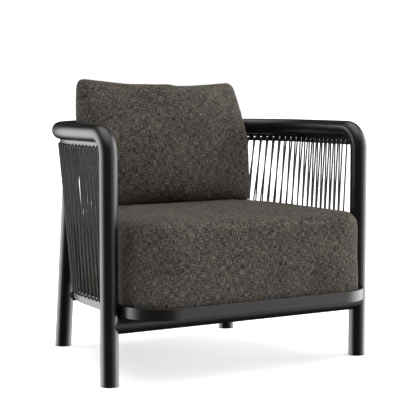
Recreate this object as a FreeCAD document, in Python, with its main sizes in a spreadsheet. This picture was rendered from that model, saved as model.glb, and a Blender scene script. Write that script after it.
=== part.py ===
import FreeCAD, Part
import math
import os
import Sketcher

# Low lounge armchair. One round tube runs up each front leg, along the arms and round the back in
# a tub shape. Two leaning rear legs meet it from below. A flat band, bent to a ring, stands on two
# cross tubes and holds the seat slats and the seat cushion. Thin rope is laced between holes in
# that ring and holes in flat strips under the top rail. A loose pillow leans against the back.
# Millimetres. +X is to the right as seen from the front, +Y is back, +Z is up. The origin is on
# the floor, in the middle of the chair's overall width and depth.

os.makedirs("parts", exist_ok=True)
doc = FreeCAD.newDocument("lounge_armchair")
sheet = doc.addObject("Spreadsheet::Sheet", "Sizes")

driving_sizes = [
    ("overall_width", 795, "outside of one arm tube to the outside of the other"),
    ("overall_depth", 696, "front of the seat ring to the back of the top rail"),
    ("arm_height", 638, "floor to the top of the arm tube"),
    ("tube_diameter", 45, "outside of every frame tube"),
    ("tube_wall", 2, "wall of every frame tube"),
    ("leg_bend", 54, "bend at the top of a front leg, on the tube's centre line"),
    ("rail_back_flat", 89, "straight stretch at the middle of the top rail's back"),
    ("front_overhang", 129, "front of the seat ring to the front legs' centre line"),
    ("arm_tail", 20, "straight arm tube left on the front leg behind its bend"),
    ("sleeve_length", 36, "sleeve inside the joint of leg and top rail"),
    ("sleeve_wall", 3, "wall of that sleeve"),
    ("slide_clearance", 0.15, "gap round a sleeve or a foot plug inside a tube"),
    ("rear_leg_turn", 50.5, "degrees round the rear corner to the rear leg"),
    ("rear_foot_out", 15.5, "rear foot, sideways from the top of its leg"),
    ("rear_foot_back", 48, "rear foot, backwards from the top of its leg"),
    ("cross_height", 149, "floor to the centre line of both cross tubes"),
    ("ring_thickness", 4.5, "seat ring band"),
    ("ring_height", 29, "seat ring band"),
    ("ring_front_corner", 107, "front corner of the seat ring, outside"),
    ("ring_back_flat", 73, "straight stretch at the middle of the ring's back"),
    ("ring_edge", 1.2, "rounding of the ring's edges"),
    ("strip_thickness", 3, "flat strip under the top rail"),
    ("strip_depth", 20, "flat strip under the top rail"),
    ("weld_gap", 0.1, "gap at each welded joint"),
    ("rope_diameter", 4.5, "round rope"),
    ("rope_hole_play", 3, "how much wider a lacing hole is than the rope"),
    ("rope_gap", 1.2, "rope's surface to the face of the band it passes"),
    ("strip_hole_drop", 10.5, "top rail's underside to the upper holes' centres"),
    ("ring_hole_drop", 8.5, "top of the seat ring to the lower holes' centres"),
    ("rope_pitch", 20.6, "upper holes, centre to centre along the rail"),
    ("first_upper_hole", 59.7, "front leg's centre line to the first upper hole"),
    ("first_lower_hole", 53.4, "front leg's centre line to the first lower hole"),
    ("lower_overrun", 9, "last lower side hole, beyond the rear leg"),
    ("rope_leg_gap", 6, "rear leg's tube to the nearest upper hole's centre"),
    ("rope_tail", 6, "loose end of each rope behind its hole"),
    ("side_ropes", 3, "lengths of rope in each arm's panel"),
    ("back_ropes", 4, "lengths of rope in the back panel"),
    ("slat_count", 6, "seat slats"),
    ("slat_width", 45, "seat slat, front to back"),
    ("slat_thickness", 4, "seat slat"),
    ("slat_rise", 5, "seat ring's lower edge to the slats' underside"),
    ("glide_thickness", 3, "part of a foot glide under the tube"),
    ("glide_plug", 15, "part of a foot glide inside the tube"),
    ("cushion_thickness", 222, "seat cushion"),
    ("cushion_top_round", 38, "rounding of the seat cushion's top edge"),
    ("cushion_bottom_round", 10, "rounding of the seat cushion's lower edge"),
    ("cushion_clearance", 1.5, "seat cushion to the rope inside the ring"),
    ("cover_thickness", 1.2, "fabric of the cushion covers"),
    ("filling_clearance", 0.4, "cover to the foam or filling inside it"),
    ("pillow_side_gap", 102.5, "arm tube's inner face to the pillow's side seam"),
    ("pillow_height", 350, "back pillow between its upper and lower seams"),
    ("pillow_front_bulge", 80, "back pillow's middle ahead of its seams"),
    ("pillow_rear_bulge", 115, "back pillow's middle behind its seams, against the rail"),
    ("pillow_lean", 17.3, "degrees that the pillow leans back"),
    ("pillow_back_gap", 61, "pillow's rear bulge to the rail, if it stood at its lower seam"),
    ("pillow_corner_gap", 97, "pillow's side seam to the rail beside it, if it stood there"),
    ("pillow_rise", 8, "seat cushion's top to the pillow's lower seam"),
]
for row, (alias, number, meaning) in enumerate(driving_sizes, start=1):
    sheet.set(f"A{row}", meaning)
    sheet.set(f"B{row}", str(number))
    sheet.setAlias(f"B{row}", alias)
doc.recompute()


def value(expression):
    """Number that an expression of the sheet's sizes stands for."""
    return float(sheet.evalExpression(expression))


# Lengths that several pieces share, as expressions of the sheet's cells.
tube_radius = "Sizes.tube_diameter / 2"
bore_radius = "(Sizes.tube_diameter / 2 - Sizes.tube_wall)"
weld_radius = "(Sizes.tube_diameter / 2 + Sizes.weld_gap)"
arm_x = "(Sizes.overall_width - Sizes.tube_diameter) / 2"
front_leg_ahead = "(Sizes.overall_depth / 2 - Sizes.front_overhang)"
rail_z = "(Sizes.arm_height - Sizes.tube_diameter / 2)"
rail_back = "(Sizes.overall_depth - Sizes.tube_diameter) / 2"
rail_bend = f"({arm_x} - Sizes.rail_back_flat / 2)"
ring_bottom = "(Sizes.cross_height + Sizes.tube_diameter / 2)"
ring_top = f"({ring_bottom} + Sizes.ring_height)"
ring_half_width = f"({arm_x} - {tube_radius} - Sizes.weld_gap)"
ring_rear_corner = f"({ring_half_width} - Sizes.ring_back_flat / 2)"
strip_top = "(Sizes.arm_height - Sizes.tube_diameter - Sizes.weld_gap)"
slat_bottom = f"({ring_bottom} + Sizes.slat_rise)"
cushion_bottom = f"({slat_bottom} + Sizes.slat_thickness)"
cushion_top = f"({cushion_bottom} + Sizes.cushion_thickness)"
cushion_inset = ("(Sizes.ring_thickness + Sizes.rope_diameter + Sizes.rope_gap"
                 " + Sizes.cushion_clearance)")
pillow_half_width = f"({arm_x} - {tube_radius} - Sizes.pillow_side_gap)"

# The rear leg's centre line runs from the rail's centre line down to the floor.
half_arm = value(arm_x)
leg_y = -value(front_leg_ahead)
rail_height = value(rail_z)
rail_corner = value(rail_bend)
rail_corner_y = value(rail_back) - rail_corner
rail_corner_x = half_arm - rail_corner
leg_turn = math.radians(value("Sizes.rear_leg_turn"))
rear_leg_top = FreeCAD.Vector(-rail_corner_x - rail_corner * math.cos(leg_turn),
                              rail_corner_y + rail_corner * math.sin(leg_turn), rail_height)
rear_foot = FreeCAD.Vector(rear_leg_top.x - value("Sizes.rear_foot_out"),
                           rear_leg_top.y + value("Sizes.rear_foot_back"), 0)
cross_share = value("Sizes.cross_height") / rail_height
rear_cross_point = rear_foot + (rear_leg_top - rear_foot) * cross_share
ring_back = rear_cross_point.y

upright = FreeCAD.Vector(0, 0, 1)
sideways = FreeCAD.Vector(1, 0, 0)
floor_reach = "2 * Sizes.overall_width"


def placed(point, direction):
    """Placement that puts a primitive's base at a point, with its axis along a direction."""
    return FreeCAD.Placement(FreeCAD.Vector(*point), FreeCAD.Rotation(upright, direction))


def bind(feature, **expressions):
    for name, expression in expressions.items():
        feature.setExpression(name, expression)
    return feature


def cylinder(name, radius, height, placement):
    feature = doc.addObject("Part::Cylinder", name)
    feature.Placement = placement
    return bind(feature, Radius=radius, Height=height)


def box(name, corner, length, width, height):
    feature = doc.addObject("Part::Box", name)
    feature.Placement.Base = FreeCAD.Vector(*corner)
    return bind(feature, Length=length, Width=width, Height=height)


def cut(name, base, tool):
    feature = doc.addObject("Part::Cut", name)
    feature.Base = base
    feature.Tool = tool
    return feature


def fuse(name, pieces):
    feature = doc.addObject("Part::MultiFuse", name)
    feature.Shapes = pieces
    return feature


def common(name, pieces):
    feature = doc.addObject("Part::MultiCommon", name)
    feature.Shapes = pieces
    return feature


def mirrored(name, source):
    """The same piece on the chair's other side."""
    feature = doc.addObject("Part::Mirroring", name)
    feature.Source = source
    feature.Normal = sideways
    return feature


def plain_shape(name, shape):
    feature = doc.addObject("Part::Feature", name)
    feature.Shape = shape
    feature.Placement = FreeCAD.Placement()
    return feature


# Sketches

def new_sketch(body, name, plane, offset):
    """Sketch on one of the body's own origin planes, moved along the plane's normal."""
    sketch = body.newObject("Sketcher::SketchObject", name)
    support = [item for item in body.Origin.OriginFeatures if item.Role == plane][0]
    sketch.AttachmentSupport = (support, [""])
    sketch.MapMode = "FlatFace"
    sketch.setExpression(".AttachmentOffset.Base.z", offset)
    return sketch


def dimension(sketch, kind, references, expression):
    index = sketch.addConstraint(Sketcher.Constraint(kind, *references, value(expression)))
    sketch.setExpression(f"Constraints[{index}]", expression)


def add_line(sketch, start, end, lie):
    line = sketch.addGeometry(Part.LineSegment(FreeCAD.Vector(*start, 0), FreeCAD.Vector(*end, 0)))
    sketch.addConstraint(Sketcher.Constraint(lie, line))
    return line


def add_arc(sketch, centre, radius, first_degrees, last_degrees):
    circle = Part.Circle(FreeCAD.Vector(*centre, 0), upright, radius)
    arc = Part.ArcOfCircle(circle, math.radians(first_degrees), math.radians(last_degrees))
    return sketch.addGeometry(arc)


def join_smoothly(sketch, joints):
    for first, first_end, second, second_end in joints:
        sketch.addConstraint(Sketcher.Constraint("Tangent", first, first_end, second, second_end))


def add_circle(sketch, left, below, radius):
    """Circle whose centre is a distance to the left of the sketch's origin, and one above it."""
    centre = FreeCAD.Vector(-value(left), value(below), 0)
    circle = sketch.addGeometry(Part.Circle(centre, upright, value(radius)))
    dimension(sketch, "DistanceX", (circle, 3, -1, 1), left)
    dimension(sketch, "DistanceY", (-1, 1, circle, 3), below)
    dimension(sketch, "Radius", (circle,), radius)


def add_tub_outline(sketch, inset):
    """The seat ring's closed outline, moved inwards: two tight front and two wide rear corners."""
    half = value(f"{ring_half_width} - {inset}")
    front = value(f"-Sizes.overall_depth / 2 + {inset}")
    back = ring_back - value(inset)
    tight = value(f"Sizes.ring_front_corner - {inset}")
    wide = value(f"{ring_rear_corner} - {inset}")
    front_line = add_line(sketch, (-half + tight, front), (half - tight, front), "Horizontal")
    right_line = add_line(sketch, (half, front + tight), (half, back - wide), "Vertical")
    back_line = add_line(sketch, (half - wide, back), (-half + wide, back), "Horizontal")
    left_line = add_line(sketch, (-half, back - wide), (-half, front + tight), "Vertical")
    front_right = add_arc(sketch, (half - tight, front + tight), tight, -90, 0)
    rear_right = add_arc(sketch, (half - wide, back - wide), wide, 0, 90)
    rear_left = add_arc(sketch, (-half + wide, back - wide), wide, 90, 180)
    front_left = add_arc(sketch, (-half + tight, front + tight), tight, 180, 270)
    join_smoothly(sketch, [
        (front_line, 2, front_right, 1), (front_right, 2, right_line, 1),
        (right_line, 2, rear_right, 1), (rear_right, 2, back_line, 1),
        (back_line, 2, rear_left, 1), (rear_left, 2, left_line, 1),
        (left_line, 2, front_left, 1), (front_left, 2, front_line, 1)])
    sketch.addConstraint(Sketcher.Constraint("Equal", front_right, front_left))
    sketch.addConstraint(Sketcher.Constraint("Equal", rear_right, rear_left))
    dimension(sketch, "Radius", (front_right,), f"Sizes.ring_front_corner - {inset}")
    dimension(sketch, "Radius", (rear_right,), f"{ring_rear_corner} - {inset}")
    dimension(sketch, "DistanceX", (left_line, 1, -1, 1), f"{ring_half_width} - {inset}")
    dimension(sketch, "DistanceX", (-1, 1, right_line, 1), f"{ring_half_width} - {inset}")
    dimension(sketch, "DistanceY", (front_line, 1, -1, 1), f"Sizes.overall_depth / 2 - {inset}")
    dimension(sketch, "DistanceY", (-1, 1, back_line, 1), f"{ring_back} - {inset}")


def add_rail_path(sketch, start_ahead):
    """Open U of the top rail's centre line, from one arm round the back to the other."""
    start = -value(start_ahead)
    back = value(rail_back)
    left_line = add_line(sketch, (-half_arm, start), (-half_arm, rail_corner_y), "Vertical")
    left_arc = add_arc(sketch, (-rail_corner_x, rail_corner_y), rail_corner, 90, 180)
    back_line = add_line(sketch, (-rail_corner_x, back), (rail_corner_x, back), "Horizontal")
    right_arc = add_arc(sketch, (rail_corner_x, rail_corner_y), rail_corner, 0, 90)
    right_line = add_line(sketch, (half_arm, rail_corner_y), (half_arm, start), "Vertical")
    join_smoothly(sketch, [
        (left_line, 2, left_arc, 2), (left_arc, 1, back_line, 1),
        (back_line, 2, right_arc, 2), (right_arc, 1, right_line, 1)])
    sketch.addConstraint(Sketcher.Constraint("Equal", left_arc, right_arc))
    dimension(sketch, "Radius", (left_arc,), rail_bend)
    dimension(sketch, "DistanceX", (left_line, 1, -1, 1), arm_x)
    dimension(sketch, "DistanceX", (-1, 1, right_line, 2), arm_x)
    dimension(sketch, "DistanceY", (-1, 1, back_line, 1), rail_back)
    dimension(sketch, "DistanceY", (left_line, 1, left_line, 2),
              f"{rail_back} - {rail_bend} + {start_ahead}")
    dimension(sketch, "DistanceY", (right_line, 2, right_line, 1),
              f"{rail_back} - {rail_bend} + {start_ahead}")


def add_leg_path(sketch):
    """Front leg's centre line: up from the glide, then a quarter bend back to the arm's joint."""
    bend = value("Sizes.leg_bend")
    foot = value("Sizes.glide_thickness")
    tail_end = leg_y + bend + value("Sizes.arm_tail")
    upright_line = add_line(sketch, (leg_y, foot), (leg_y, rail_height - bend), "Vertical")
    bend_arc = add_arc(sketch, (leg_y + bend, rail_height - bend), bend, 90, 180)
    tail_line = add_line(sketch, (leg_y + bend, rail_height), (tail_end, rail_height), "Horizontal")
    join_smoothly(sketch, [(upright_line, 2, bend_arc, 2), (bend_arc, 1, tail_line, 1)])
    dimension(sketch, "Radius", (bend_arc,), "Sizes.leg_bend")
    dimension(sketch, "DistanceX", (upright_line, 1, -1, 1), front_leg_ahead)
    dimension(sketch, "DistanceY", (-1, 1, upright_line, 1), "Sizes.glide_thickness")
    dimension(sketch, "DistanceY", (-1, 1, tail_line, 1), rail_z)
    dimension(sketch, "DistanceX", (tail_line, 1, tail_line, 2), "Sizes.arm_tail")


# Bodies swept along those paths

def swept_body(name, make_path, outer_profile, inner_profile=None):
    body = doc.addObject("PartDesign::Body", name)
    path = make_path(body)
    profile = outer_profile(body)
    solid = body.newObject("PartDesign::AdditivePipe", name + "_outside")
    solid.Profile = profile
    solid.Spine = (path, [])
    if inner_profile:
        bore = body.newObject("PartDesign::SubtractivePipe", name + "_bore")
        bore.Profile = inner_profile(body)
        bore.Spine = (path, [])
    return body


def leg_path(body):
    sketch = new_sketch(body, body.Name + "_path", "YZ_Plane", f"-{arm_x}")
    add_leg_path(sketch)
    return sketch


def leg_profile(radius):
    def draw(body):
        sketch = new_sketch(body, body.Name + "_profile", "XY_Plane", "Sizes.glide_thickness")
        add_circle(sketch, arm_x, f"-{front_leg_ahead}", radius)
        return sketch
    return draw


splice_ahead = f"({front_leg_ahead} - Sizes.leg_bend - Sizes.arm_tail)"


def rail_path(start_ahead, height):
    def draw(body):
        sketch = new_sketch(body, body.Name + "_path", "XY_Plane", height)
        add_rail_path(sketch, start_ahead)
        return sketch
    return draw


def rail_profile(radius):
    def draw(body):
        sketch = new_sketch(body, body.Name + "_profile", "XZ_Plane", splice_ahead)
        add_circle(sketch, arm_x, rail_z, radius)
        return sketch
    return draw


def strip_profile(body):
    """Upright rectangle under the rail's centre line, on the front legs' plane."""
    sketch = new_sketch(body, body.Name + "_profile", "XZ_Plane", front_leg_ahead)
    half = value("Sizes.strip_thickness / 2")
    top = value(strip_top)
    low = top - value("Sizes.strip_depth")
    lower = add_line(sketch, (-half_arm - half, low), (-half_arm + half, low), "Horizontal")
    inner = add_line(sketch, (-half_arm + half, low), (-half_arm + half, top), "Vertical")
    upper = add_line(sketch, (-half_arm + half, top), (-half_arm - half, top), "Horizontal")
    outer = add_line(sketch, (-half_arm - half, top), (-half_arm - half, low), "Vertical")
    corners = [(lower, inner), (inner, upper), (upper, outer), (outer, lower)]
    for first, second in corners:
        sketch.addConstraint(Sketcher.Constraint("Coincident", first, 2, second, 1))
    dimension(sketch, "DistanceX", (lower, 1, lower, 2), "Sizes.strip_thickness")
    dimension(sketch, "DistanceY", (inner, 1, inner, 2), "Sizes.strip_depth")
    dimension(sketch, "DistanceX", (lower, 2, -1, 1), f"{arm_x} - Sizes.strip_thickness / 2")
    dimension(sketch, "DistanceY", (-1, 1, upper, 1), strip_top)
    return sketch


# Frame tubes

front_leg_left = swept_body("front_leg_left", leg_path, leg_profile(tube_radius),
                            leg_profile(bore_radius))
front_leg_right = mirrored("front_leg_right", front_leg_left)
front_leg_room = swept_body("front_leg_room", leg_path, leg_profile(weld_radius))
front_leg_room_right = mirrored("front_leg_room_right", front_leg_room)
top_rail = swept_body("top_rail", rail_path(splice_ahead, rail_z), rail_profile(tube_radius),
                      rail_profile(bore_radius))
rail_room = swept_body("rail_room", rail_path(splice_ahead, rail_z), rail_profile(weld_radius))


def sleeve_left():
    """Short tube inside the joint between a front leg's tail and the top rail."""
    splice_y = -value(splice_ahead)
    start = (-half_arm, splice_y - value("Sizes.sleeve_length / 2"), rail_height)
    placement = placed(start, FreeCAD.Vector(0, 1, 0))
    outside = cylinder("sleeve_outside", f"{bore_radius} - Sizes.slide_clearance",
                       "Sizes.sleeve_length", placement)
    inside = cylinder("sleeve_inside", f"{bore_radius} - Sizes.slide_clearance - Sizes.sleeve_wall",
                      "Sizes.sleeve_length", placement)
    return cut("rail_sleeve_left", outside, inside)


rail_sleeve_left = sleeve_left()
rail_sleeve_right = mirrored("rail_sleeve_right", rail_sleeve_left)

# The rear legs lean, so their tubes are drawn from below the floor and trimmed level.
rear_direction = (rear_leg_top - rear_foot).normalize()
rear_start = rear_foot - rear_direction * value("Sizes.tube_diameter")
rear_run = f"{(rear_leg_top - rear_start).Length}"
below_feet = box("below_feet", (-value("Sizes.overall_width"),) * 2 + (-value("Sizes.arm_height"),),
                 floor_reach, floor_reach, "Sizes.arm_height + Sizes.glide_thickness")


def rear_leg():
    placement = placed(rear_start, rear_direction)
    outside = cylinder("rear_leg_outside", tube_radius, rear_run, placement)
    inside = cylinder("rear_leg_bore", bore_radius, rear_run, placement)
    tube = cut("rear_leg_tube", outside, inside)
    trimmed = cut("rear_leg_trimmed", tube, below_feet)
    return cut("rear_leg_left", trimmed, rail_room)


rear_leg_left = rear_leg()
rear_leg_right = mirrored("rear_leg_right", rear_leg_left)
rear_leg_room = cylinder("rear_leg_room", weld_radius, rear_run, placed(rear_start, rear_direction))
rear_leg_room_right = mirrored("rear_leg_room_right", rear_leg_room)


def cross_tube(name, end, rooms):
    """Tube across the chair, its ends shaped to the legs that it is welded to."""
    placement = placed(end, sideways)
    span = f"{-2 * end.x}"
    outside = cylinder(name + "_outside", tube_radius, span, placement)
    inside = cylinder(name + "_bore", bore_radius, span, placement)
    tube = cut(name + "_tube", outside, inside)
    return cut(name, tube, fuse(name + "_rooms", rooms))


front_cross_end = FreeCAD.Vector(-half_arm, leg_y, value("Sizes.cross_height"))
front_cross_tube = cross_tube("front_cross_tube", front_cross_end,
                              [front_leg_room, front_leg_room_right])
rear_cross_tube = cross_tube("rear_cross_tube", rear_cross_point,
                             [rear_leg_room, rear_leg_room_right])


def foot_glide(name, foot, direction):
    """Plastic plug in a tube's end, with a flat sole as wide as the tube."""
    start = foot - direction * value("Sizes.tube_diameter")
    reach = "2 * Sizes.tube_diameter + Sizes.glide_plug"
    half = value("Sizes.tube_diameter")
    corner = (foot.x - half, foot.y - half, 0)
    side = "2 * Sizes.tube_diameter"
    wide = cylinder(name + "_wide", tube_radius, reach, placed(start, direction))
    narrow = cylinder(name + "_narrow", f"{bore_radius} - Sizes.slide_clearance", reach,
                      placed(start, direction))
    sole_slab = box(name + "_sole_slab", corner, side, side, "Sizes.glide_thickness")
    plug_slab = box(name + "_plug_slab", corner, side, side,
                    "Sizes.glide_thickness + Sizes.glide_plug")
    sole = common(name + "_sole", [wide, sole_slab])
    plug = common(name + "_plug", [narrow, plug_slab])
    return fuse(name, [sole, plug])


front_foot = FreeCAD.Vector(-half_arm, leg_y, 0)
front_glide_left = foot_glide("front_glide_left", front_foot, upright)
front_glide_right = mirrored("front_glide_right", front_glide_left)
rear_glide_left = foot_glide("rear_glide_left", rear_foot, rear_direction)
rear_glide_right = mirrored("rear_glide_right", rear_glide_left)

# Lacing stations. A station is the distance along a band's middle, from the front legs' plane on
# the left arm, round the back to the right arm.


class Band:
    """Middle line of a band: a straight side, a round rear corner, a straight back."""

    def __init__(self, half_width, back, corner):
        self.half_width = half_width
        self.back = back
        self.corner = corner
        self.side = back - corner - leg_y
        self.bend = corner * math.pi / 2
        self.half_length = self.side + self.bend + half_width - corner

    def point(self, station, outwards):
        """Plan position at a station, moved outwards from the middle line, and the normal."""
        across = 1
        if station > self.half_length:
            station = 2 * self.half_length - station
            across = -1
        turn = min(max(station - self.side, 0), self.bend) / self.corner
        ahead = min(station - self.side, 0)
        inward = max(station - self.side - self.bend, 0)
        normal_x = -math.cos(turn)
        normal_y = math.sin(turn)
        reach = self.corner + outwards
        x = -self.half_width + self.corner + reach * normal_x + inward
        y = self.back - self.corner + reach * normal_y + ahead
        return x * across, y, normal_x * across, normal_y

    def station_at(self, turn):
        return self.side + self.corner * turn


ring_half = value("Sizes.ring_thickness / 2")
strip_half = value("Sizes.strip_thickness / 2")
upper_band = Band(half_arm, value(rail_back), rail_corner)
lower_band = Band(value(ring_half_width) - ring_half, ring_back - ring_half,
                  value(ring_rear_corner) - ring_half)
upper_z = value("Sizes.arm_height - Sizes.tube_diameter - Sizes.strip_hole_drop")
lower_z = value(f"{ring_top} - Sizes.ring_hole_drop")


def spread(first, last, count):
    return [first + (last - first) * index / (count - 1) for index in range(count)]


def lacing_stations():
    """Upper and lower hole stations of the left panel and of the back panel."""
    pitch = value("Sizes.rope_pitch")
    keep_off = value("Sizes.tube_diameter / 2 + Sizes.rope_leg_gap")
    leg_above = upper_band.station_at(leg_turn)
    first = value("Sizes.first_upper_hole")
    side_count = int((leg_above - keep_off - first) / pitch) + 1
    side_upper = [first + pitch * index for index in range(side_count)]
    back_span = 2 * (upper_band.half_length - leg_above - keep_off)
    back_count = int(back_span / pitch) + 1
    back_start = upper_band.half_length - pitch * (back_count - 1) / 2
    back_upper = [back_start + pitch * index for index in range(back_count)]
    corner_x = -lower_band.half_width + lower_band.corner
    corner_y = lower_band.back - lower_band.corner
    share = lower_z / rail_height
    leg_at_ring = rear_foot + (rear_leg_top - rear_foot) * share
    turn_below = math.atan2(leg_at_ring.y - corner_y, corner_x - leg_at_ring.x)
    last_lower = lower_band.station_at(turn_below) + value("Sizes.lower_overrun")
    side_lower = spread(value("Sizes.first_lower_hole"), last_lower, side_count)
    lower_pitch = 2 * (lower_band.half_length - last_lower) / (back_count + 1)
    back_lower = [last_lower + lower_pitch * (index + 1) for index in range(back_count)]
    return side_upper, side_lower, back_upper, back_lower


side_upper, side_lower, back_upper, back_lower = lacing_stations()


def hole_tools(name, band, stations, height, thickness):
    """One short cylinder through the band at each station and at its mirror image."""
    reach = value(f"2 * {thickness}")
    radius = value("(Sizes.rope_diameter + Sizes.rope_hole_play) / 2")
    tools = []
    for station in stations:
        for place in {station, 2 * band.half_length - station}:
            x, y, normal_x, normal_y = band.point(place, -reach)
            start = FreeCAD.Vector(x, y, height)
            direction = FreeCAD.Vector(normal_x, normal_y, 0)
            tools.append(Part.makeCylinder(radius, 2 * reach, start, direction))
    return plain_shape(name, Part.makeCompound(tools))


half_back = (len(back_upper) + 1) // 2
upper_holes = hole_tools("upper_holes", upper_band, side_upper + back_upper[:half_back], upper_z,
                         "Sizes.strip_thickness")
lower_holes = hole_tools("lower_holes", lower_band, side_lower + back_lower[:half_back], lower_z,
                         "Sizes.ring_thickness")


def level_faces(feature):
    """Names of a pad's two level faces."""
    names = []
    for index, face in enumerate(feature.Shape.Faces, start=1):
        if face.BoundBox.ZLength < 0.001:
            names.append(f"Face{index}")
    return names


def tub_pad(name, insets, bottom, height):
    """Body padded up from the tub outline, or from the band between two such outlines."""
    body = doc.addObject("PartDesign::Body", name)
    sketch = new_sketch(body, name + "_outline", "XY_Plane", bottom)
    for inset in insets:
        add_tub_outline(sketch, inset)
    pad = body.newObject("PartDesign::Pad", name + "_pad")
    pad.Profile = sketch
    pad.setExpression("Length", height)
    doc.recompute()
    return body, pad


def holed_ring():
    body, pad = tub_pad("ring_band", ["0", "Sizes.ring_thickness"], ring_bottom,
                        "Sizes.ring_height")
    rounding = body.newObject("PartDesign::Fillet", "ring_rounding")
    rounding.Base = (pad, level_faces(pad))
    rounding.setExpression("Radius", "Sizes.ring_edge")
    return cut("seat_ring", body, lower_holes)


seat_ring = holed_ring()

# Flat strips under the rail, broken where the rear legs come up to it.
strip_run = swept_body("strip_run", rail_path(front_leg_ahead,
                                              f"{strip_top} - Sizes.strip_depth / 2"),
                       strip_profile)
strip_rooms = fuse("strip_rooms", [front_leg_room, front_leg_room_right, rear_leg_room,
                                   rear_leg_room_right])
strip_pieces = cut("strip_pieces", cut("strip_open", strip_run, strip_rooms), upper_holes)
side_region = box("side_region", (-value("Sizes.overall_width"), -value("Sizes.overall_depth"), 0),
                  f"Sizes.overall_width + {rear_leg_top.x}",
                  f"Sizes.overall_depth + {rear_leg_top.y}", "Sizes.arm_height")
back_region = box("back_region", (rear_leg_top.x, rear_leg_top.y, 0), f"{-2 * rear_leg_top.x}",
                  "Sizes.overall_depth", "Sizes.arm_height")
rope_strip_left = common("rope_strip_left", [strip_pieces, side_region])
rope_strip_back = common("rope_strip_back", [strip_pieces, back_region])
rope_strip_right = mirrored("rope_strip_right", rope_strip_left)


# Rope

def rounded_route(points, radius):
    """Straight runs between the points, joined by tangent arcs of one radius."""
    edges = []
    start = points[0]
    for before, corner, after in zip(points, points[1:], points[2:]):
        towards = (before - corner).normalize()
        away = (after - corner).normalize()
        opening = towards.getAngle(away)
        trim = radius / math.tan(opening / 2)
        middle_way = (towards + away).normalize()
        centre = corner + middle_way * (radius / math.sin(opening / 2))
        arc_start = corner + towards * trim
        arc_end = corner + away * trim
        arc_middle = centre - middle_way * radius
        edges.append(Part.makeLine(start, arc_start))
        edges.append(Part.Arc(arc_start, arc_middle, arc_end).toShape())
        start = arc_end
    edges.append(Part.makeLine(start, points[-1]))
    return Part.Wire(edges)


def lacing_points(upper, lower, next_upper):
    """Down outside from each upper hole, in through the lower one, and up inside to the next."""
    clear = value("Sizes.rope_diameter / 2 + Sizes.rope_gap")
    above = strip_half + clear
    below = ring_half + clear
    tail = FreeCAD.Vector(0, 0, value("Sizes.rope_tail"))

    def spot(band, station, outwards, height):
        x, y, _, _ = band.point(station, outwards)
        return FreeCAD.Vector(x, y, height)

    points = [spot(upper_band, upper[0], -above, upper_z) + tail]
    for high, low in zip(upper, lower):
        points.append(spot(upper_band, high, -above, upper_z))
        points.append(spot(upper_band, high, above, upper_z))
        points.append(spot(lower_band, low, below, lower_z))
        points.append(spot(lower_band, low, -below, lower_z))
    if next_upper is None:
        points.append(points[-1] + tail * 2)
    else:
        points.append(spot(upper_band, next_upper, -above, upper_z) - tail)
    return points


def laced_rope(name, upper, lower, next_upper):
    """One length of rope laced over a stretch of holes, swept along its route."""
    points = lacing_points(upper, lower, next_upper)
    clear = value("Sizes.rope_diameter / 2 + Sizes.rope_gap")
    # The tightest turns are the two on either side of the strip: they take this much of the way
    # from the strip's middle to the rope's.
    turn_share = 0.9
    radius = turn_share * (strip_half + clear)
    route = rounded_route(points, radius)
    section_radius = value("Sizes.rope_diameter / 2")
    along = (points[1] - points[0]).normalize()
    section = Part.Wire(Part.makeCircle(section_radius, points[0], along))
    solid = route.makePipeShell([section], True, False)
    expected = math.pi * section_radius ** 2 * route.Length
    print(name, "volume over section times length:", round(solid.Volume / expected, 5))
    return plain_shape(name, solid)


def laced_panel(name, upper, lower, rope_count):
    """Ropes that share a panel's holes evenly, each ending just under where the next begins."""
    ropes = []
    edges = [round(len(upper) * share / rope_count) for share in range(rope_count + 1)]
    for number, (first, last) in enumerate(zip(edges, edges[1:]), start=1):
        next_upper = upper[last] if last < len(upper) else None
        ropes.append(laced_rope(f"{name}_{number}", upper[first:last], lower[first:last],
                                next_upper))
    return ropes


left_ropes = laced_panel("rope_left", side_upper, side_lower, int(value("Sizes.side_ropes")))
right_ropes = [mirrored(rope.Label.replace("left", "right"), rope) for rope in left_ropes]
back_ropes = laced_panel("rope_back", back_upper, back_lower, int(value("Sizes.back_ropes")))


# Seat slats, trimmed to the inside of the ring.

def seat_slats():
    inset = "(Sizes.ring_thickness + Sizes.weld_gap)"
    room, _ = tub_pad("slat_room", [inset], slat_bottom, "Sizes.slat_thickness")
    count = int(value("Sizes.slat_count"))
    front = value(f"-Sizes.overall_depth / 2 + {inset}")
    back = ring_back - value(inset)
    step = (back - front) / count
    slats = []
    for index in range(count):
        middle = front + step * (index + 0.5)
        corner = (-value("Sizes.overall_width"), middle - value("Sizes.slat_width / 2"),
                  value(slat_bottom))
        bar = box(f"slat_bar_{index + 1}", corner, floor_reach, "Sizes.slat_width",
                  "Sizes.slat_thickness")
        slats.append(common(f"seat_slat_{index + 1}", [bar, room]))
    return slats


slats = seat_slats()


# Seat cushion: a fabric cover, closed all round, and the foam block inside it.

def cushion_block(name, depth):
    """Cushion shape, moved inwards everywhere by a depth under the cover's outside."""
    body, pad = tub_pad(name, [f"({cushion_inset} + {depth})"], f"{cushion_bottom} + {depth}",
                        f"Sizes.cushion_thickness - 2 * {depth}")
    faces = sorted(level_faces(pad), key=lambda face: pad.Shape.getElement(face).BoundBox.ZMin)
    lower = body.newObject("PartDesign::Fillet", name + "_lower_edge")
    lower.Base = (pad, [faces[0]])
    lower.setExpression("Radius", f"Sizes.cushion_bottom_round - {depth}")
    doc.recompute()
    faces = sorted(level_faces(lower), key=lambda face: lower.Shape.getElement(face).BoundBox.ZMin)
    upper = body.newObject("PartDesign::Fillet", name + "_upper_edge")
    upper.Base = (lower, [faces[-1]])
    upper.setExpression("Radius", f"Sizes.cushion_top_round - {depth}")
    return body


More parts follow.
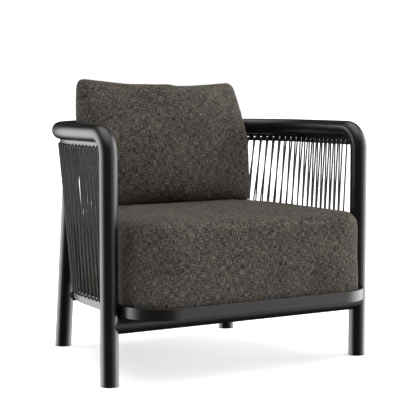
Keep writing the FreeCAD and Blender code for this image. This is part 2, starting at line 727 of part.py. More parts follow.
filling_depth = "(Sizes.cover_thickness + Sizes.filling_clearance)"
seat_cushion_cover = cut("seat_cushion_cover", cushion_block("cushion_outside", "0"),
                         cushion_block("cushion_inside", "Sizes.cover_thickness"))
seat_cushion_foam = cushion_block("seat_cushion_foam", filling_depth)


# Back pillow: where four wide cylinders meet, so that it thins out to a seam on all four sides.

def pillow_seam_y():
    """The pillow stands as far back as its bulge and its side seams have room inside the rail."""
    bulge = value(f"{rail_back} - {tube_radius} - Sizes.pillow_back_gap - Sizes.pillow_rear_bulge")
    past_flat = f"({pillow_half_width} - Sizes.rail_back_flat / 2)"
    turned = f"sqrt(({rail_bend} - {tube_radius}) ^ 2 - {past_flat} ^ 2)"
    side = value(f"{rail_back} - {rail_bend} + {turned} - Sizes.pillow_corner_gap")
    return min(bulge, side)


def pillow_block(name, depth):
    lean = FreeCAD.Rotation(sideways, -value("Sizes.pillow_lean"))
    seam_y = pillow_seam_y()
    seam_z = value(f"{cushion_top} + Sizes.pillow_rise")
    rise = lean.multVec(upright) * value("Sizes.pillow_height / 2")
    pillow = FreeCAD.Placement(FreeCAD.Vector(0, seam_y, seam_z) + rise, lean)
    reach = "2 * Sizes.overall_width"
    pieces = []
    curves = [("upright", "(Sizes.pillow_height / 2)", sideways), ("level", pillow_half_width, upright)]
    for curve, half_chord, direction in curves:
        for side, sign in (("front", 1), ("rear", -1)):
            bulge = f"Sizes.pillow_{side}_bulge"
            radius = f"(({half_chord} ^ 2 + {bulge} ^ 2) / (2 * {bulge}))"
            centre_off = value(f"{radius} - {bulge}")
            start = FreeCAD.Vector(0, sign * centre_off, 0) - direction * value(reach) / 2
            pieces.append(cylinder(f"{name}_{curve}_{side}", f"{radius} - {depth}", reach,
                                   pillow.multiply(placed(start, direction))))
    return common(name, pieces)


pillow_cover = cut("pillow_cover", pillow_block("pillow_outside", "0"),
                   pillow_block("pillow_inside", "Sizes.cover_thickness"))
pillow_filling = pillow_block("pillow_filling", filling_depth)

nodes = [front_leg_left, front_leg_right, top_rail, rail_sleeve_left, rail_sleeve_right,
         rear_leg_left, rear_leg_right, front_cross_tube, rear_cross_tube,
         front_glide_left, front_glide_right, rear_glide_left, rear_glide_right,
         seat_ring, rope_strip_left, rope_strip_back, rope_strip_right,
         *left_ropes, *back_ropes, *right_ropes, *slats,
         seat_cushion_cover, seat_cushion_foam, pillow_cover, pillow_filling]

doc.recompute()
for item in doc.Objects:
    if "Invalid" in item.State or "Error" in item.State:
        raise RuntimeError(f"{item.Label} did not build: {item.State}")
for node in nodes:
    if node.Shape.isNull() or not node.Shape.isValid() or not node.Shape.Solids:
        raise RuntimeError(f"{node.Label} has no sound solid")
for node in nodes:
    node.Shape.exportStep(f"parts/{node.Label}.step")
    bounds = node.Shape.BoundBox
    print(f"{node.Label}: {len(node.Shape.Solids)} solid, {node.Shape.Volume / 1000:.1f} cm3, "
          f"x {bounds.XMin:.1f} {bounds.XMax:.1f}, y {bounds.YMin:.1f} {bounds.YMax:.1f}, "
          f"z {bounds.ZMin:.1f} {bounds.ZMax:.1f}")
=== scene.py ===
import bisect
import math

import bmesh
import bpy
from mathutils import Matrix, Vector, noise
from mathutils.bvhtree import BVHTree


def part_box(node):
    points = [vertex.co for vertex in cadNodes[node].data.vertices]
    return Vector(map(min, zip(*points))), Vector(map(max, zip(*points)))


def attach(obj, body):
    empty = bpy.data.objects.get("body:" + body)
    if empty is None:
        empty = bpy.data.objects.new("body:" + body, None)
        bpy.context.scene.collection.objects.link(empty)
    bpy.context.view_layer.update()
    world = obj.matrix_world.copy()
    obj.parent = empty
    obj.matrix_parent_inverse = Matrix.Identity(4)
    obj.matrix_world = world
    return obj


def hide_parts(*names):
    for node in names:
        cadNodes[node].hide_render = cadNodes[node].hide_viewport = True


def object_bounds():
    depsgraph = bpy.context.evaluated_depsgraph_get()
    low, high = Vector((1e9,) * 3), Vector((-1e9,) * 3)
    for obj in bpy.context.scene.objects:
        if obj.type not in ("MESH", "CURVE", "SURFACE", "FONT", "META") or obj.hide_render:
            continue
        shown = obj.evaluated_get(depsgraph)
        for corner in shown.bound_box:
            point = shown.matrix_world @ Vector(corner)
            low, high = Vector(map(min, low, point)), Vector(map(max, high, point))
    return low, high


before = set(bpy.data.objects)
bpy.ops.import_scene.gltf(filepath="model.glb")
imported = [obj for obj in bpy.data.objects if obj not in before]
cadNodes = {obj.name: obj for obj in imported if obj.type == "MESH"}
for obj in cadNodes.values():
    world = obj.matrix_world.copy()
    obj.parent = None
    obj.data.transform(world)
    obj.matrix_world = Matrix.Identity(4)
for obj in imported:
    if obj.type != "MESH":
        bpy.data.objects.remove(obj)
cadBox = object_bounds()
print("frame loaded:", len(cadNodes), "nodes")


# ---- colours and nodes

def hexColour(text):
    channels = [int(text[i:i + 2], 16) / 255 for i in (1, 3, 5)]
    linear = [c / 12.92 if c <= 0.04045 else ((c + 0.055) / 1.055) ** 2.4 for c in channels]
    return (*linear, 1.0)


def addNode(tree, kind, values=None, links=None, **settings):
    node = tree.nodes.new(kind)
    for name, setting in settings.items():
        setattr(node, name, setting)
    for name, number in (values or {}).items():
        node.inputs[name].default_value = number
    for name, socket in (links or {}).items():
        tree.links.new(socket, node.inputs[name])
    return node


def newMaterial(name):
    material = bpy.data.materials.new(name)
    material.use_nodes = True
    tree = material.node_tree
    tree.nodes.clear()
    return material, tree


def finishMaterial(tree, values, links):
    shader = addNode(tree, "ShaderNodeBsdfPrincipled", values, links)
    addNode(tree, "ShaderNodeOutputMaterial", links={"Surface": shader.outputs["BSDF"]})


def perMetre(millimetres):
    return 1000 / millimetres


def bandsPerMetre(millimetres):
    return math.pi / 10 * perMetre(millimetres)  # a Wave texture's Scale for bands this far apart


# Polyester powder coat, sprayed on and baked: an even charcoal film. Its fine orange peel spreads
# each reflection into a soft stripe along the tube, and it is a little duller where it lies thin.
coat = {"dark": "#121213", "light": "#19191a", "roughness": 0.34, "roughnessRange": 0.07,
        "peelMm": 2.4, "cloudMm": 110, "peelDepth": 0.00025, "peelStrength": 0.5}


def powderCoat():
    material, tree = newMaterial("satinPowderCoat")
    place = addNode(tree, "ShaderNodeTexCoord").outputs["Object"]
    cloud = addNode(tree, "ShaderNodeTexNoise", {"Scale": perMetre(coat["cloudMm"]), "Detail": 4.0},
                    {"Vector": place})
    peel = addNode(tree, "ShaderNodeTexNoise", {"Scale": perMetre(coat["peelMm"]), "Detail": 2.0},
                   {"Vector": place})
    colour = addNode(tree, "ShaderNodeMix",
                     {6: hexColour(coat["dark"]), 7: hexColour(coat["light"])},
                     {0: cloud.outputs["Fac"]}, data_type="RGBA")
    rough = addNode(tree, "ShaderNodeMapRange",
                    {"To Min": coat["roughness"] - coat["roughnessRange"] / 2,
                     "To Max": coat["roughness"] + coat["roughnessRange"] / 2},
                    {"Value": cloud.outputs["Fac"]})
    bump = addNode(tree, "ShaderNodeBump",
                   {"Strength": coat["peelStrength"], "Distance": coat["peelDepth"]},
                   {"Height": peel.outputs["Fac"]})
    finishMaterial(tree, {"IOR": 1.5},
                   {"Base Color": colour.outputs[2], "Roughness": rough.outputs["Result"],
                    "Normal": bump.outputs["Normal"]})
    return material


# Drawn aluminium as it leaves the mill, for the sleeves inside the rail: grey metal with fine
# lines along its length.
mill = {"dark": "#a9abad", "light": "#c9cbcc", "lineMm": 0.6, "lineLengthMm": 60,
        "smoothest": 0.3, "roughest": 0.45}


def millAluminium():
    material, tree = newMaterial("millAluminium")
    place = addNode(tree, "ShaderNodeTexCoord").outputs["Object"]
    across = perMetre(mill["lineMm"])
    along = perMetre(mill["lineLengthMm"])
    stretched = addNode(tree, "ShaderNodeMapping", {"Scale": (across, along, across)},
                        {"Vector": place})
    lines = addNode(tree, "ShaderNodeTexNoise", {"Scale": 1.0, "Detail": 3.0},
                    {"Vector": stretched.outputs["Vector"]})
    colour = addNode(tree, "ShaderNodeMix",
                     {6: hexColour(mill["dark"]), 7: hexColour(mill["light"])},
                     {0: lines.outputs["Fac"]}, data_type="RGBA")
    rough = addNode(tree, "ShaderNodeMapRange",
                    {"To Min": mill["smoothest"], "To Max": mill["roughest"]},
                    {"Value": lines.outputs["Fac"]})
    finishMaterial(tree, {"Metallic": 1.0},
                   {"Base Color": colour.outputs[2], "Roughness": rough.outputs["Result"]})
    return material


# Polyethylene foot glides, injection moulded with a spark-eroded grain: dull black, with pale
# scuffs on the sole.
glide = {"body": "#17171a", "scuff": "#3c3c3e", "grainMm": 0.9, "scuffMm": 7, "soleHeight": 0.0012,
         "grainDepth": 0.0001, "grainStrength": 0.4}


def mouldedPlastic():
    material, tree = newMaterial("mouldedPolyethylene")
    place = addNode(tree, "ShaderNodeTexCoord").outputs["Object"]
    height = addNode(tree, "ShaderNodeSeparateXYZ", links={"Vector": place}).outputs["Z"]
    sole = addNode(tree, "ShaderNodeMapRange",
                   {"From Min": 0.0, "From Max": glide["soleHeight"], "To Min": 1.0, "To Max": 0.0},
                   {"Value": height})
    patches = addNode(tree, "ShaderNodeTexNoise", {"Scale": perMetre(glide["scuffMm"]), "Detail": 5.0},
                      {"Vector": place})
    scuffed = addNode(tree, "ShaderNodeMath",
                      links={0: sole.outputs["Result"], 1: patches.outputs["Fac"]},
                      operation="MULTIPLY")
    grain = addNode(tree, "ShaderNodeTexNoise", {"Scale": perMetre(glide["grainMm"])},
                    {"Vector": place})
    colour = addNode(tree, "ShaderNodeMix",
                     {6: hexColour(glide["body"]), 7: hexColour(glide["scuff"])},
                     {0: scuffed.outputs["Value"]}, data_type="RGBA")
    bump = addNode(tree, "ShaderNodeBump",
                   {"Strength": glide["grainStrength"], "Distance": glide["grainDepth"]},
                   {"Height": grain.outputs["Fac"]})
    finishMaterial(tree, {"Roughness": 0.55, "IOR": 1.51},
                   {"Base Color": colour.outputs[2], "Normal": bump.outputs["Normal"]})
    return material


# Braided polyester rope: matt charcoal yarns that cross in small lozenges, with a few paler
# filaments. The colour is also darker between the lozenges, where the braid's bump is low: this is
# painted shade in the grooves. The strands stand nearly upright, so crossed diagonal bands follow
# the braid. The bands are also turned about the strand, so that they cross on all its sides.
braid = {"dark": "#232324", "light": "#58585a", "crossingMm": 2.6, "filamentMm": 1.1,
         "angle": 45, "turn": 45, "lozengeDepth": 0.0005, "lozengeStrength": 0.7}


def braidedRope():
    material, tree = newMaterial("braidedPolyester")
    place = addNode(tree, "ShaderNodeTexCoord").outputs["Object"]
    crossings = []
    for angle in (braid["angle"], -braid["angle"]):
        turned = addNode(tree, "ShaderNodeMapping",
                         {"Rotation": (0.0, math.radians(angle), math.radians(braid["turn"]))},
                         {"Vector": place}, vector_type="TEXTURE")
        bands = addNode(tree, "ShaderNodeTexWave", {"Scale": bandsPerMetre(braid["crossingMm"])},
                        {"Vector": turned.outputs["Vector"]})
        crossings.append(bands.outputs["Fac"])
    lozenge = addNode(tree, "ShaderNodeMath", links={0: crossings[0], 1: crossings[1]},
                      operation="MAXIMUM")
    filaments = addNode(tree, "ShaderNodeTexNoise",
                        {"Scale": perMetre(braid["filamentMm"]), "Detail": 2.0}, {"Vector": place})
    # painted shade: the colour darkens in the braid's grooves, where the lozenge bands are low; the
    # paler filaments are the rope's own
    paintedGrooveShadeAndFilaments = addNode(tree, "ShaderNodeMath",
                    links={0: lozenge.outputs["Value"], 1: filaments.outputs["Fac"]},
                    operation="MULTIPLY")
    colour = addNode(tree, "ShaderNodeMix",
                     {6: hexColour(braid["dark"]), 7: hexColour(braid["light"])},
                     {0: paintedGrooveShadeAndFilaments.outputs["Value"]}, data_type="RGBA")
    bump = addNode(tree, "ShaderNodeBump",
                   {"Strength": braid["lozengeStrength"], "Distance": braid["lozengeDepth"]},
                   {"Height": lozenge.outputs["Value"]})
    finishMaterial(tree, {"Roughness": 0.8, "Sheen Weight": 0.15, "Sheen Roughness": 0.5},
                   {"Base Color": colour.outputs[2], "Normal": bump.outputs["Normal"]})
    return material


# Olefin upholstery cloth in a plain weave of slub yarns: each yarn is spun from brown-grey and
# near-black fibre, so that short pale and dark dashes run both ways. Matt, with a slight fuzz.
# Real yarns are about 0.9 mm apart and their dashes half as thick, too fine to show from here, so
# the dashes are drawn 1.1 mm thick; the small bumps keep the true spacing.
cloth = {"dark": "#151210", "middle": "#3b3631", "light": "#7a7168", "dashMm": 1.1,
         "dashLengthMm": 14, "dashEdge": (0.26, 0.74), "crossOffset": (7.3, 2.9, 4.0),
         "tones": (0.45, 1.55), "blotchMm": 70, "blotchShift": 0.2, "yarnMm": 0.9,
         "yarnDepth": 0.00035, "yarnStrength": 0.5, "slubDepth": 0.0006, "slubStrength": 0.6}


def slubWeave():
    material, tree = newMaterial("slubWeaveOlefin")
    place = addNode(tree, "ShaderNodeUVMap", uv_map="weave").outputs["UV"]
    thin = perMetre(cloth["dashMm"])
    long = perMetre(cloth["dashLengthMm"])
    dashes = []
    for scale, offset in (((thin, long, 1.0), (0.0, 0.0, 0.0)),
                          ((long, thin, 1.0), cloth["crossOffset"])):
        stretched = addNode(tree, "ShaderNodeMapping", {"Scale": scale, "Location": offset},
                            {"Vector": place})
        yarn = addNode(tree, "ShaderNodeTexNoise", {"Scale": 1.0, "Detail": 2.0, "Roughness": 0.55},
                       {"Vector": stretched.outputs["Vector"]})
        dash = addNode(tree, "ShaderNodeMapRange",
                       {"From Min": cloth["dashEdge"][0], "From Max": cloth["dashEdge"][1]},
                       {"Value": yarn.outputs["Fac"]}, interpolation_type="SMOOTHSTEP")
        dashes.append(dash.outputs["Result"])
    both = addNode(tree, "ShaderNodeMath", links={0: dashes[0], 1: dashes[1]}, operation="ADD")
    blotch = addNode(tree, "ShaderNodeTexNoise", {"Scale": perMetre(cloth["blotchMm"]), "Detail": 2.0},
                     {"Vector": place})
    drift = addNode(tree, "ShaderNodeMapRange",
                    {"To Min": -cloth["blotchShift"], "To Max": cloth["blotchShift"]},
                    {"Value": blotch.outputs["Fac"]})
    melange = addNode(tree, "ShaderNodeMath",
                      links={0: both.outputs["Value"], 1: drift.outputs["Result"]}, operation="ADD")
    spread = addNode(tree, "ShaderNodeMapRange",
                     {"From Min": cloth["tones"][0], "From Max": cloth["tones"][1]},
                     {"Value": melange.outputs["Value"]})
    ramp = addNode(tree, "ShaderNodeValToRGB", links={"Fac": spread.outputs["Result"]})
    ramp.color_ramp.elements[0].color = hexColour(cloth["dark"])
    ramp.color_ramp.elements[1].color = hexColour(cloth["light"])
    ramp.color_ramp.elements.new(0.5).color = hexColour(cloth["middle"])
    yarns = []
    for axis in ("X", "Y"):
        wave = addNode(tree, "ShaderNodeTexWave", {"Scale": bandsPerMetre(cloth["yarnMm"])},
                       {"Vector": place}, bands_direction=axis)
        yarns.append(wave.outputs["Fac"])
    crossing = addNode(tree, "ShaderNodeMath", links={0: yarns[0], 1: yarns[1]}, operation="MULTIPLY")
    fine = addNode(tree, "ShaderNodeBump",
                   {"Strength": cloth["yarnStrength"], "Distance": cloth["yarnDepth"]},
                   {"Height": crossing.outputs["Value"]})
    slub = addNode(tree, "ShaderNodeBump",
                   {"Strength": cloth["slubStrength"], "Distance": cloth["slubDepth"]},
                   {"Height": both.outputs["Value"], "Normal": fine.outputs["Normal"]})
    finishMaterial(tree, {"Roughness": 0.9, "IOR": 1.4, "Specular IOR Level": 0.25,
                          "Sheen Weight": 0.05, "Sheen Roughness": 0.5,
                          "Sheen Tint": hexColour(cloth["light"])},
                   {"Base Color": ramp.outputs["Color"], "Normal": slub.outputs["Normal"]})
    return material


metal = powderCoat()
aluminium = millAluminium()
plastic = mouldedPlastic()
rope = braidedRope()
fabric = slubWeave()

finishes = {"rail_sleeve": aluminium, "front_glide": plastic, "rear_glide": plastic,
            "rope_left": rope, "rope_back": rope, "rope_right": rope,
            "seat_cushion": fabric, "pillow": fabric}
for name, node in cadNodes.items():
    found = [finish for start, finish in finishes.items() if name.startswith(start)]
    node.data.materials.clear()
    node.data.materials.append(found[0] if found else metal)
print("finishes on the frame:", len(cadNodes))


# ---- helpers for the soft pieces

def addPiece(name, build, material):
    mesh = bpy.data.meshes.new(name)
    build.to_mesh(mesh)
    build.free()
    mesh.materials.append(material)
    piece = bpy.data.objects.new(name, mesh)
    bpy.context.scene.collection.objects.link(piece)
    return piece


def swell(piece, frames, **settings):
    modifier = piece.modifiers.new("swell", "CLOTH")
    modifier.settings.use_pressure = True
    modifier.settings.effector_weights.gravity = 0
    modifier.collision_settings.use_collision = False
    modifier.point_cache.frame_start = 1
    modifier.point_cache.frame_end = frames
    for name, setting in settings.items():
        setattr(modifier.settings, name, setting)
    scene = bpy.context.scene
    for number in range(1, frames + 1):
        scene.frame_set(number)
    swollen = piece.evaluated_get(bpy.context.evaluated_depsgraph_get()).data
    places = [vertex.co.copy() for vertex in swollen.vertices]
    piece.modifiers.remove(modifier)
    scene.frame_set(1)
    return places


def smoothStep(low, high, number):
    share = min(max((number - low) / (high - low), 0.0), 1.0)
    return share * share * (3 - 2 * share)


def smoothMesh(mesh, passes):
    build = bmesh.new()
    build.from_mesh(mesh)
    for _ in range(passes):
        bmesh.ops.smooth_vert(build, verts=build.verts, factor=0.5, use_axis_x=True,
                              use_axis_y=True, use_axis_z=True)
    build.to_mesh(mesh)
    build.free()


def finishSoftPiece(piece, fill, *nodes):
    for face in piece.data.polygons:
        face.use_smooth = True
    modifier = piece.modifiers.new("subdivision", "SUBSURF")
    modifier.levels = modifier.render_levels = 1
    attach(piece, "root")
    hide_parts(*nodes)


# ---- seat cushion

# A foam block in a sewn cover, thick and square-edged, that fills the tub of the frame. Its top
# swells a little in the middle; its sides stay plumb where the ring and the ropes hold them.
seat = {"voxel": 0.0095, "mergeGap": 1e-5, "frames": 15, "pressure": 4.0, "fill": 0.9,
        "topSkin": 0.001, "crown": 0.011, "crownStart": -0.02, "crownReach": 0.22,
        "sideSwell": 0.0013, "frontSwell": 0.004, "heldHeight": 0.035,
        "stuckSwell": 0.0003, "stuckHeight": 0.02,  # the underside lies on the slats
        "smoothPasses": 3, "waveHeight": 0.0012, "waveLength": 0.13, "waveSlope": 0.2,
        "frontCorner": 0.0937, "backFlat": 0.073, "topSlope": 0.7}
seatLow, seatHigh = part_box("seat_cushion_foam")


def wayIn(x, y):  # how far a place on the top lies in from the cushion's edge
    return min(seatHigh.x - abs(x), y - seatLow.y, seatHigh.y - y)


def wayRound(x, y):  # how far round the cushion's side a place lies from the middle of its front
    tight = seat["frontCorner"]
    wide = seatHigh.x - seat["backFlat"] / 2
    frontTurn = Vector((seatHigh.x - tight, seatLow.y + tight))
    backTurn = Vector((seatHigh.x - wide, seatHigh.y - wide))
    side = 1 if x > 0 else -1
    x = abs(x)
    if y < frontTurn.y and x > frontTurn.x:
        length = frontTurn.x + tight * math.atan2(x - frontTurn.x, frontTurn.y - y)
    elif y < seatLow.y + tight / 2:
        length = x
    elif y < backTurn.y:
        length = frontTurn.x + tight * math.pi / 2 + y - frontTurn.y
    else:
        turn = math.atan2(y - backTurn.y, max(x - backTurn.x, 1e-4))
        length = frontTurn.x + tight * math.pi / 2 + backTurn.y - frontTurn.y + wide * turn
    return side * length


def seatSwelling(place, target):
    move = target - place
    room = seat["sideSwell"]
    if place.z > seatHigh.z - seat["topSkin"]:
        room = seat["crown"] * smoothStep(seat["crownStart"], seat["crownReach"],
                                          wayIn(place.x, place.y))
    elif place.y < seatLow.y + seat["frontCorner"]:
        above = smoothStep(seatLow.z + seat["heldHeight"], (seatLow.z + seatHigh.z) / 2, place.z)
        room += (seat["frontSwell"] - seat["sideSwell"]) * above
    if place.z < seatLow.z + seat["stuckHeight"]:
        room = seat["stuckSwell"]
    if move.length > room:
        move *= room / move.length
    return place + move


def weaveOnSeat(mesh):
    layer = mesh.uv_layers.new(name="weave")
    for face in mesh.polygons:
        flat = abs(face.normal.z) > seat["topSlope"]
        for loop in face.loop_indices:
            place = mesh.vertices[mesh.loops[loop].vertex_index].co
            layer.data[loop].uv = place.xy if flat else (wayRound(place.x, place.y), place.z)


def makeSeatCushion():
    build = bmesh.new()
    build.from_mesh(cadNodes["seat_cushion_foam"].data)
    bmesh.ops.remove_doubles(build, verts=build.verts, dist=seat["mergeGap"])
    bmesh.ops.recalc_face_normals(build, faces=build.faces)
    piece = addPiece("seatCushion", build, fabric)
    bpy.context.view_layer.objects.active = piece
    piece.data.remesh_voxel_size = seat["voxel"]
    bpy.ops.object.voxel_remesh()
    mesh = piece.data
    places = swell(piece, seat["frames"], uniform_pressure_force=seat["pressure"])
    for vertex, target in zip(mesh.vertices, places):
        vertex.co = seatSwelling(vertex.co, target)
    smoothMesh(mesh, seat["smoothPasses"])
    for vertex in mesh.vertices:
        if vertex.normal.z > seat["waveSlope"]:
            wave = noise.noise(vertex.co / seat["waveLength"])
            vertex.co.z += seat["waveHeight"] * wave
    weaveOnSeat(mesh)
    finishSoftPiece(piece, seat["fill"], "seat_cushion_cover", "seat_cushion_foam")
    return piece


seatCushion = makeSeatCushion()
print("seat cushion:", len(seatCushion.data.vertices), "points")


# ---- back pillow

# A bag of two flat panels sewn together on all four sides and stuffed with fibre. Stuffing rounds
# the panels and puckers the seams; the puckers are smoothed, and the seams set to their places.
# The lower edge is pressed flat on the seat, the top edge sags between soft corners and drops a
# little to the right, and the pillow leans back towards the rail.
pillow = {"width": 0.535, "height": 0.372, "cell": 0.0078, "cutCorner": 0.014,  # the flat panels
          "startDepth": 0.025, "mergeGap": 1e-6, "seamReach": 0.001, "frames": 24,
          "stuffing": {"use_pressure_volume": True, "target_volume": 0.0153, "pressure_factor": 5.0,
                       "uniform_pressure_force": 0.0, "mass": 0.15, "quality": 6,
                       "tension_stiffness": 60, "compression_stiffness": 3, "shear_stiffness": 3,
                       "bending_stiffness": 0.3, "air_damping": 3},
          "smoothPasses": 14, "fill": 0.55, "frontDepth": 0.080, "rearDepth": 0.113,
          "length": 0.35, "press": 0.014, "topSag": 0.020, "rightDrop": 0.011, "topShift": 0.004,
          "sideReach": 0.004, "sideFullness": 0.005, "softCorner": 0.026, "yaw": 1.8,
          "seatGap": 0.0008, "seamBehindFront": 0.0348}
pillowLow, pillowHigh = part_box("pillow_cover")
pillowLean = math.acos((pillowHigh.z - pillowLow.z) / pillow["length"])
pillowTall = pillow["length"] + (pillow["press"] + pillow["rightDrop"]) / math.cos(pillowLean)


def roundCorner(place, half, radius):
    over = [max(abs(place[axis]) - half[axis] + radius, 0) for axis in (0, 1)]
    if min(over) > 0:
        share = max(over) / math.hypot(*over)
        return [math.copysign(half[axis] - radius + over[axis] * share, place[axis])
                for axis in (0, 1)]
    return list(place)


def flatBag():
    build = bmesh.new()
    half = Vector((pillow["width"] / 2, pillow["height"] / 2))
    bmesh.ops.create_grid(build, x_segments=round(pillow["width"] / pillow["cell"]),
                          y_segments=round(pillow["height"] / pillow["cell"]), size=0.5)
    bmesh.ops.scale(build, vec=(pillow["width"], pillow["height"], 1), verts=build.verts)
    for vertex in build.verts:
        vertex.co = (*roundCorner(vertex.co.xy, half, pillow["cutCorner"]), 0)
    bmesh.ops.rotate(build, matrix=Matrix.Rotation(math.pi / 2, 3, "X"), verts=build.verts)
    twin = bmesh.ops.duplicate(build, geom=build.verts[:] + build.edges[:] + build.faces[:])
    rear = {item for item in twin["geom"] if isinstance(item, bmesh.types.BMVert)}
    for vertex in build.verts:
        if not vertex.is_boundary:
            rise = (1 - (vertex.co.x / half.x) ** 2) * (1 - (vertex.co.z / half.y) ** 2)
            depth = pillow["startDepth"] * math.sqrt(max(rise, 0))
            vertex.co.y = depth if vertex in rear else -depth
    bmesh.ops.remove_doubles(build, verts=build.verts, dist=pillow["mergeGap"])
    bmesh.ops.recalc_face_normals(build, faces=build.faces)
    return build


def findSeams(mesh):
    edgeX = pillow["width"] / 2 - pillow["seamReach"]
    edgeZ = pillow["height"] / 2 - pillow["seamReach"]
    return {"lower": [v.index for v in mesh.vertices if v.co.z < -edgeZ],
            "upper": [v.index for v in mesh.vertices if v.co.z > edgeZ],
            "left": [v.index for v in mesh.vertices if v.co.x < -edgeX],
            "right": [v.index for v in mesh.vertices if v.co.x > edgeX]}


def stuffBag(piece):
    mesh = piece.data
    places = swell(piece, pillow["frames"], **pillow["stuffing"])
    for vertex, target in zip(mesh.vertices, places):
        vertex.co = target
    smoothMesh(mesh, pillow["smoothPasses"])


# Gives a function that says how far out a seam lies, at a distance along it.
def seamLine(mesh, seam, along, across):
    points = sorted((mesh.vertices[index].co[along], abs(mesh.vertices[index].co[across]))
                    for index in seam)

    def reach(at):
        after = min(max(bisect.bisect(points, (at, 0)), 1), len(points) - 1)
        (startAt, startReach), (endAt, endReach) = points[after - 1], points[after]
        share = min(max((at - startAt) / max(endAt - startAt, 1e-6), 0), 1)
        return startReach + (endReach - startReach) * share
    return reach


def shapePillow(mesh, seams):
    lower, upper = (seamLine(mesh, seams[name], 0, 2) for name in ("lower", "upper"))
    left, right = (seamLine(mesh, seams[name], 2, 0) for name in ("left", "right"))
    deepen = {-1: pillow["frontDepth"] / -min(v.co.y for v in mesh.vertices),
              1: pillow["rearDepth"] / max(v.co.y for v in mesh.vertices)}
    halfWidth = max(v.co.x for v in mesh.vertices)
    halfHeight = max(v.co.z for v in mesh.vertices)
    half = Vector((pillowHigh.x + pillow["sideReach"], pillowTall / 2))
    for vertex in mesh.vertices:
        x, y, z = vertex.co
        sideways, upwards = x / halfWidth, z / halfHeight
        sag = pillow["topSag"] * (1 - sideways ** 2) + pillow["rightDrop"] * (sideways + 1) / 2
        squared = Vector((x * half.x / (right(z) if x > 0 else left(z)),
                          z * half.y / (upper(x) if z > 0 else lower(x))))
        x, z = roundCorner(squared, half, pillow["softCorner"])
        x *= 1 + pillow["sideFullness"] / half.x * (1 - upwards ** 2)
        x += pillow["topShift"] * max(upwards, 0)
        z -= sag * max(z, 0) / half.y
        y *= deepen[1 if y > 0 else -1]
        vertex.co = (x, y, z + half.y)


def leanPillow(mesh):
    foot = Vector((0, pillowLow.y + pillow["seamBehindFront"], pillowLow.z - pillow["press"]))
    mesh.transform(Matrix.Translation(foot) @ Matrix.Rotation(math.radians(pillow["yaw"]), 4, "Z")
                   @ Matrix.Rotation(-pillowLean, 4, "X"))


def pressOnSeat(mesh):
    below = BVHTree.FromPolygons([v.co for v in seatCushion.data.vertices],
                                 [face.vertices for face in seatCushion.data.polygons])
    for vertex in mesh.vertices:
        above = Vector((vertex.co.x, vertex.co.y, pillowHigh.z))
        spot = below.ray_cast(above, Vector((0, 0, -1)))[0]
        if spot and vertex.co.z < spot.z + pillow["seatGap"]:
            vertex.co.z = spot.z + pillow["seatGap"]


def makePillow():
    piece = addPiece("backPillow", flatBag(), fabric)
    mesh = piece.data
    layer = mesh.uv_layers.new(name="weave")
    for loop in mesh.loops:
        place = mesh.vertices[loop.vertex_index].co
        layer.data[loop.index].uv = (place.x, place.z)
    seams = findSeams(mesh)
    stuffBag(piece)
    shapePillow(mesh, seams)
    leanPillow(mesh)
    pressOnSeat(mesh)
    finishSoftPiece(piece, pillow["fill"], "pillow_cover", "pillow_filling")
    return piece


backPillow = makePillow()
print("pillow:", len(backPillow.data.vertices), "points")


# ---- camera, light and floor

view = {"azimuth": -30.02, "elevation": 4.95, "distance": 3.4083, "lens": 112.9, "sensor": 36,
        "aim": (0.00695, 0.00113, 0.0513)}  # from the middle of the CAD box


def towards(azimuth, elevation):
    azimuth, elevation = math.radians(azimuth), math.radians(elevation)
    return Vector((math.sin(azimuth) * math.cos(elevation),
                   -math.cos(azimuth) * math.cos(elevation), math.sin(elevation)))


def setUpCamera():
    low, high = cadBox
    aim = (low + high) / 2 + Vector(view["aim"])
    back = towards(view["azimuth"], view["elevation"])
    data = bpy.data.cameras.new("camera")
    data.lens = view["lens"]
    data.sensor_width = view["sensor"]
    camera = bpy.data.objects.new("camera", data)
    camera.location = aim + back * view["distance"]
    camera.rotation_euler = (-back).to_track_quat("-Z", "Y").to_euler()
    bpy.context.scene.collection.objects.link(camera)
    bpy.context.scene.camera = camera


setUpCamera()

# A dim studio with two strong soft boxes, one at the left behind the chair and one at its right,
# and fainter ones at the right front and overhead. They leave the viewer's side dark, so that
# each tube has a dark middle between bright edges. Angles are in degrees; azimuth 0 is the front.
studio = {"dim": 0.012, "behind": "#ffffff", "behindStrength": 1.0}
softBoxes = [{"azimuth": -135, "elevation": -8, "full": 15, "faded": 44, "strength": 5.2},
             {"azimuth": 86, "elevation": 0, "full": 12, "faded": 44, "strength": 5.0},
             {"azimuth": 52, "elevation": 10, "full": 10, "faded": 55, "strength": 1.6},
             {"azimuth": 0, "elevation": 88, "full": 8, "faded": 50, "strength": 2.8}]


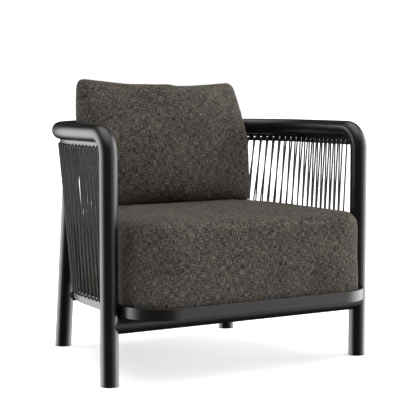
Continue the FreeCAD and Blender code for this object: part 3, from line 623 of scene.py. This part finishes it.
def setUpLight():
    world = bpy.data.worlds.new("studio")
    world.use_nodes = True
    tree = world.node_tree
    tree.nodes.clear()
    direction = addNode(tree, "ShaderNodeTexCoord").outputs["Generated"]
    soFar = {}  # the first soft box is added to the dim studio, each later one to the sum so far
    for box in softBoxes:
        near = addNode(tree, "ShaderNodeVectorMath", {1: towards(box["azimuth"], box["elevation"])},
                       {0: direction}, operation="DOT_PRODUCT")
        glow = addNode(tree, "ShaderNodeMapRange",
                       {"From Min": math.cos(math.radians(box["faded"])),
                        "From Max": math.cos(math.radians(box["full"])),
                        "To Min": 0.0, "To Max": box["strength"]},
                       {"Value": near.outputs["Value"]}, interpolation_type="SMOOTHSTEP")
        total = addNode(tree, "ShaderNodeMath", {1: studio["dim"]},
                        {0: glow.outputs["Result"], **soFar}).outputs["Value"]
        soFar = {1: total}
    seen = addNode(tree, "ShaderNodeLightPath").outputs["Is Camera Ray"]
    shown = addNode(tree, "ShaderNodeMix", {3: studio["behindStrength"]}, {0: seen, 2: total})
    background = addNode(tree, "ShaderNodeBackground", {"Color": hexColour(studio["behind"])},
                         {"Strength": shown.outputs[0]})
    addNode(tree, "ShaderNodeOutputWorld", links={"Surface": background.outputs["Background"]})
    bpy.context.scene.world = world
    bpy.context.scene.view_settings.view_transform = "Standard"


setUpLight()

# The floor is lifted towards white where the camera sees it, and only there.
paint = {"colour": "#f8f8f8", "roughness": 0.9, "lift": "#ffffff", "liftStrength": 0.55,
         "halfSize": 30}


def makeFloor():
    material, tree = newMaterial("paintedFloor")
    seen = addNode(tree, "ShaderNodeLightPath").outputs["Is Camera Ray"]
    lift = addNode(tree, "ShaderNodeMath", {1: paint["liftStrength"]}, {0: seen},
                   operation="MULTIPLY")
    finishMaterial(tree, {"Base Color": hexColour(paint["colour"]), "Roughness": paint["roughness"],
                          "Emission Color": hexColour(paint["lift"])},
                   {"Emission Strength": lift.outputs["Value"]})
    build = bmesh.new()
    bmesh.ops.create_grid(build, x_segments=1, y_segments=1, size=paint["halfSize"])
    mesh = bpy.data.meshes.new("floor")
    build.to_mesh(mesh)
    build.free()
    floor = bpy.data.objects.new("floor", mesh)
    mesh.materials.append(material)
    bpy.context.scene.collection.objects.link(floor)
    floor.visible_glossy = False  # the tubes reflect the soft boxes down to their lower edges


makeFloor()
print("stage ready")
